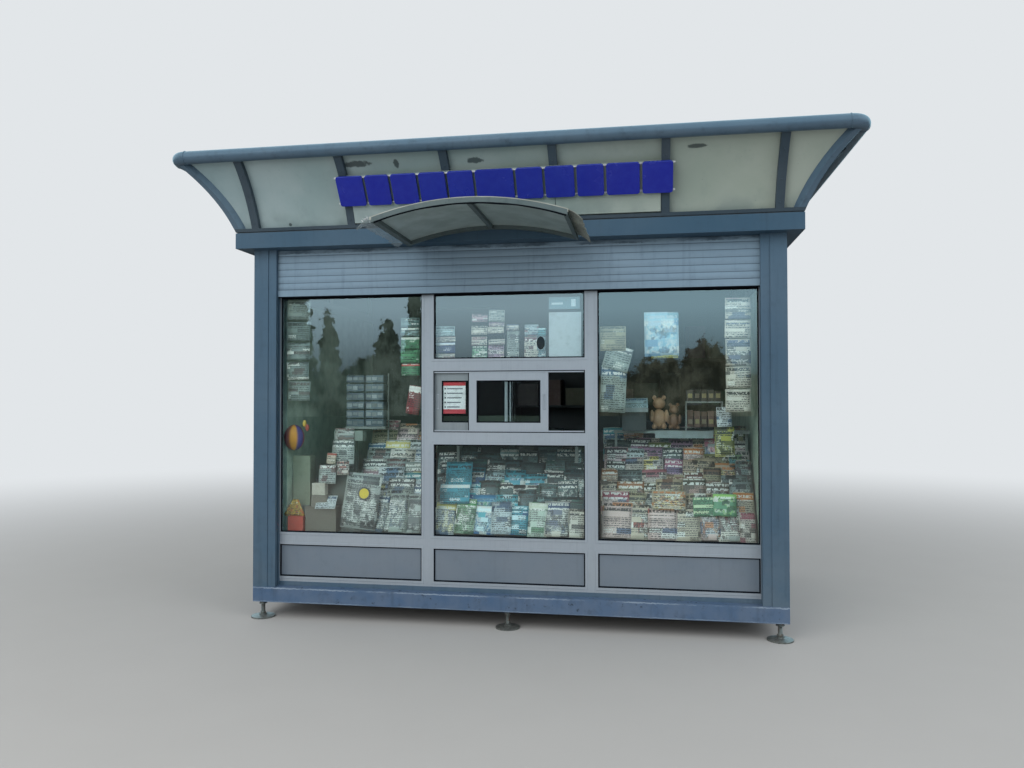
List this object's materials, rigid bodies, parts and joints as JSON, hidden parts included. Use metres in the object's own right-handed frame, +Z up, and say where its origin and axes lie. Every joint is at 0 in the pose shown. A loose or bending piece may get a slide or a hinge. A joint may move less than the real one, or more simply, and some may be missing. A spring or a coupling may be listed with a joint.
{
  "type": "street kiosk",
  "caption": "Glazed street kiosk on levelling feet, with a half lowered roller shutter, a sliding serving hatch under an arched awning, and a mitred flared canopy.",
  "frame": {"origin": "middle of the whole footprint, on the ground under the foot plates", "axes": "+X along the front, to the right for a customer facing it; -Y towards the customer; +Z up"},
  "size_m": [3.8304, 2.9852, 2.735],
  "materials": {
    "blue_steel": "satin",
    "aluminium": "satin",
    "slat_paint": "satin",
    "panel_paint": "satin",
    "clear_glass": "gloss",
    "opal_sheet": "satin",
    "galvanised": "dull",
    "awning_paint": "worn",
    "awning_sheet": "dull",
    "roofing": "matte",
    "floor_board": "matte",
    "ceiling_board": "matte",
    "stand_board": "satin",
    "door_metal": "satin"
  },
  "bodies": {
    "root": {"base_beams_long": "blue_steel", "base_beams_side": "blue_steel", "sill_strips": "blue_steel", "corner_posts": "blue_steel", "foot_plates": "galvanised", "foot_spindles": "galvanised", "floor_panel": "floor_board", "ceiling_panel": "ceiling_board", "front_stiles": "aluminium", "front_rails": "aluminium", "glass_front": "clear_glass", "kick_panels_front": "panel_paint", "hatch_tracks": "aluminium", "hatch_sash_left": "aluminium", "hatch_sash_right": "aluminium", "hatch_glass": "clear_glass", "shutter_guides": "blue_steel", "shutter_curtain": "slat_paint", "shutter_end_slat": "slat_paint", "shutter_box": "slat_paint", "shutter_roll": "slat_paint", "side_stiles": "aluminium", "side_rails": "aluminium", "glass_side": "clear_glass", "kick_panels_side": "panel_paint", "fascia_panels_side": "panel_paint", "back_wall_beside_door": "panel_paint", "back_wall_over_door": "panel_paint", "door_frame": "blue_steel", "back_door": "blue_steel", "door_furniture": "door_metal", "cornice_long": "blue_steel", "cornice_side": "blue_steel", "roof_deck": "roofing", "flare_sills": "blue_steel", "flare_ribs": "blue_steel", "hip_ribs": "blue_steel", "flare_panels_long": "opal_sheet", "flare_panels_side": "opal_sheet", "rim_tubes": "blue_steel", "rim_bends": "blue_steel", "awning_arches": "awning_paint", "awning_ribs": "awning_paint", "awning_sheet": "awning_sheet", "display_stands": "stand_board"}
  },
  "joints": []
}
